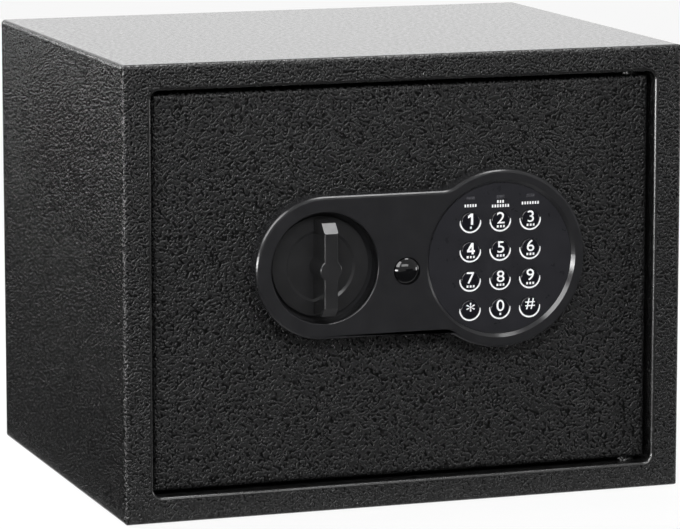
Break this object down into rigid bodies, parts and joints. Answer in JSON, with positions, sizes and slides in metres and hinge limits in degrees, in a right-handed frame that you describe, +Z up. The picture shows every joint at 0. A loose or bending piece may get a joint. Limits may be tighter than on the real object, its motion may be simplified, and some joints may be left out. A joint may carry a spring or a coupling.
{
  "type": "electronic safe",
  "caption": "Small steel safe with a hinged door, a moulded lock plate with a round keypad, a turn knob in a well, a capped override lock and sliding bolts.",
  "frame": {"origin": "middle of the case's underside, on the surface it stands on", "axes": "+X to the viewer's right along the front, -Y out of the door, +Z up"},
  "size_m": [0.35, 0.293, 0.27],
  "materials": {
    "case_paint": "textured powder coat",
    "door_paint": "textured powder coat",
    "cover_paint": "satin",
    "raw_steel": "as rolled",
    "bright_steel": "turned",
    "zinc_plate": "zinc plated",
    "screw_steel": "zinc plated",
    "brass": "turned",
    "faceplate_plastic": "satin",
    "knob_plastic": "satin",
    "keypad_plastic": "satin",
    "key_plastic": "satin",
    "window_plastic": "translucent",
    "cap_plastic": "gloss",
    "circuit_board": "solder mask",
    "mat_rubber": "matt",
    "lead_sheath": "satin",
    "black_plastic": "moulded",
    "cell_wrap": "gloss",
    "felt": "felt",
    "red_plastic": "gloss"
  },
  "bodies": {
    "case": {"case_wrap": "case_paint", "back_panel": "case_paint", "door_frame": "case_paint", "upper_hinge_bracket": "raw_steel", "lower_hinge_bracket": "raw_steel", "floor_mat": "felt"},
    "door": {"door_panel": "door_paint", "upper_hinge_pin": "door_paint", "lower_hinge_pin": "door_paint", "door_back_cover": "cover_paint", "cover_screws": "screw_steel", "lock_faceplate": "faceplate_plastic", "faceplate_screws": "screw_steel", "keypad_panel": "keypad_plastic", "status_windows": "window_plastic", "keypad_board": "circuit_board", "key_mat": "mat_rubber", "keypad_cable": "lead_sheath", "override_barrel": "zinc_plate", "override_nut": "zinc_plate", "spindle_bush": "brass", "carriage_studs": "screw_steel", "solenoid_frame": "zinc_plate", "solenoid_coil": "black_plastic", "plunger_spring": "bright_steel", "solenoid_leads": "lead_sheath", "control_board": "circuit_board", "board_spacers": "screw_steel", "board_screws": "screw_steel", "battery_leads": "lead_sheath", "battery_tray": "black_plastic", "battery_cells": "cell_wrap"},
    "knob_shaft": {"knob": "knob_plastic", "knob_spindle": "bright_steel", "drive_cam": "zinc_plate", "cam_nut": "screw_steel"},
    "bolt_work": {"bolt_carriage": "zinc_plate", "upper_bolt": "bright_steel", "lower_bolt": "bright_steel", "bolt_screws": "screw_steel"},
    "plunger": {"solenoid_plunger": "bright_steel"},
    "lock_plug": {"override_plug": "brass", "override_cam": "zinc_plate", "override_cam_screw": "screw_steel"},
    "lock_cap": {"override_cap": "cap_plastic"},
    "reset": {"reset_button": "red_plastic"},
    "battery_lid": {"battery_cover": "black_plastic"},
    "button_1": {"key_1": "key_plastic"},
    "button_2": {"key_2": "key_plastic"},
    "button_3": {"key_3": "key_plastic"},
    "button_4": {"key_4": "key_plastic"},
    "button_5": {"key_5": "key_plastic"},
    "button_6": {"key_6": "key_plastic"},
    "button_7": {"key_7": "key_plastic"},
    "button_8": {"key_8": "key_plastic"},
    "button_9": {"key_9": "key_plastic"},
    "button_star": {"key_star": "key_plastic"},
    "button_0": {"key_0": "key_plastic"},
    "button_hash": {"key_hash": "key_plastic"}
  },
  "joints": [
    {"name": "door_hinge", "type": "hinge", "parent": "case", "child": "door", "pos_m": [0.1455, -0.1245, 0.135], "axis": [0, 0, 1], "range_deg": [0, 100]},
    {"name": "knob_turn", "type": "hinge", "parent": "door", "child": "knob_shaft", "pos_m": [-0.054, -0.1315, 0.147], "axis": [0, -1, 0], "range_deg": [0, 90]},
    {"name": "bolt_slide", "type": "slide", "parent": "door", "child": "bolt_work", "axis": [-1, 0, 0], "range_m": [0, 0.015]},
    {"name": "plunger_drop", "type": "slide", "parent": "door", "child": "plunger", "axis": [0, 0, -1], "range_m": [0, 0.0045], "stiffness_N_per_m": 300, "springref_m": -0.002, "deforming": ["plunger_spring"]},
    {"name": "override_turn", "type": "hinge", "parent": "door", "child": "lock_plug", "pos_m": [-0.003, -0.1315, 0.1427], "axis": [0, -1, 0], "range_deg": [-90, 0]},
    {"name": "cap_pull", "type": "slide", "parent": "door", "child": "lock_cap", "axis": [0, -1, 0], "range_m": [0, 0.03]},
    {"name": "reset_press", "type": "slide", "parent": "door", "child": "reset", "axis": [0, -1, 0], "range_m": [0, 0.002], "stiffness_N_per_m": 400},
    {"name": "battery_lid_lift", "type": "slide", "parent": "door", "child": "battery_lid", "axis": [0, 1, 0], "range_m": [0, 0.03]},
    {"name": "press_1", "type": "slide", "parent": "door", "child": "button_1", "axis": [0, 1, 0], "range_m": [0, 0.001], "stiffness_N_per_m": 1000},
    {"name": "press_2", "type": "slide", "parent": "door", "child": "button_2", "axis": [0, 1, 0], "range_m": [0, 0.001], "stiffness_N_per_m": 1000},
    {"name": "press_3", "type": "slide", "parent": "door", "child": "button_3", "axis": [0, 1, 0], "range_m": [0, 0.001], "stiffness_N_per_m": 1000},
    {"name": "press_4", "type": "slide", "parent": "door", "child": "button_4", "axis": [0, 1, 0], "range_m": [0, 0.001], "stiffness_N_per_m": 1000},
    {"name": "press_5", "type": "slide", "parent": "door", "child": "button_5", "axis": [0, 1, 0], "range_m": [0, 0.001], "stiffness_N_per_m": 1000},
    {"name": "press_6", "type": "slide", "parent": "door", "child": "button_6", "axis": [0, 1, 0], "range_m": [0, 0.001], "stiffness_N_per_m": 1000},
    {"name": "press_7", "type": "slide", "parent": "door", "child": "button_7", "axis": [0, 1, 0], "range_m": [0, 0.001], "stiffness_N_per_m": 1000},
    {"name": "press_8", "type": "slide", "parent": "door", "child": "button_8", "axis": [0, 1, 0], "range_m": [0, 0.001], "stiffness_N_per_m": 1000},
    {"name": "press_9", "type": "slide", "parent": "door", "child": "button_9", "axis": [0, 1, 0], "range_m": [0, 0.001], "stiffness_N_per_m": 1000},
    {"name": "press_star", "type": "slide", "parent": "door", "child": "button_star", "axis": [0, 1, 0], "range_m": [0, 0.001], "stiffness_N_per_m": 1000},
    {"name": "press_0", "type": "slide", "parent": "door", "child": "button_0", "axis": [0, 1, 0], "range_m": [0, 0.001], "stiffness_N_per_m": 1000},
    {"name": "press_hash", "type": "slide", "parent": "door", "child": "button_hash", "axis": [0, 1, 0], "range_m": [0, 0.001], "stiffness_N_per_m": 1000}
  ],
  "couplings": [
    {"joint": "knob_turn", "follows": "bolt_slide", "rad_per_m": 104.72}
  ]
}
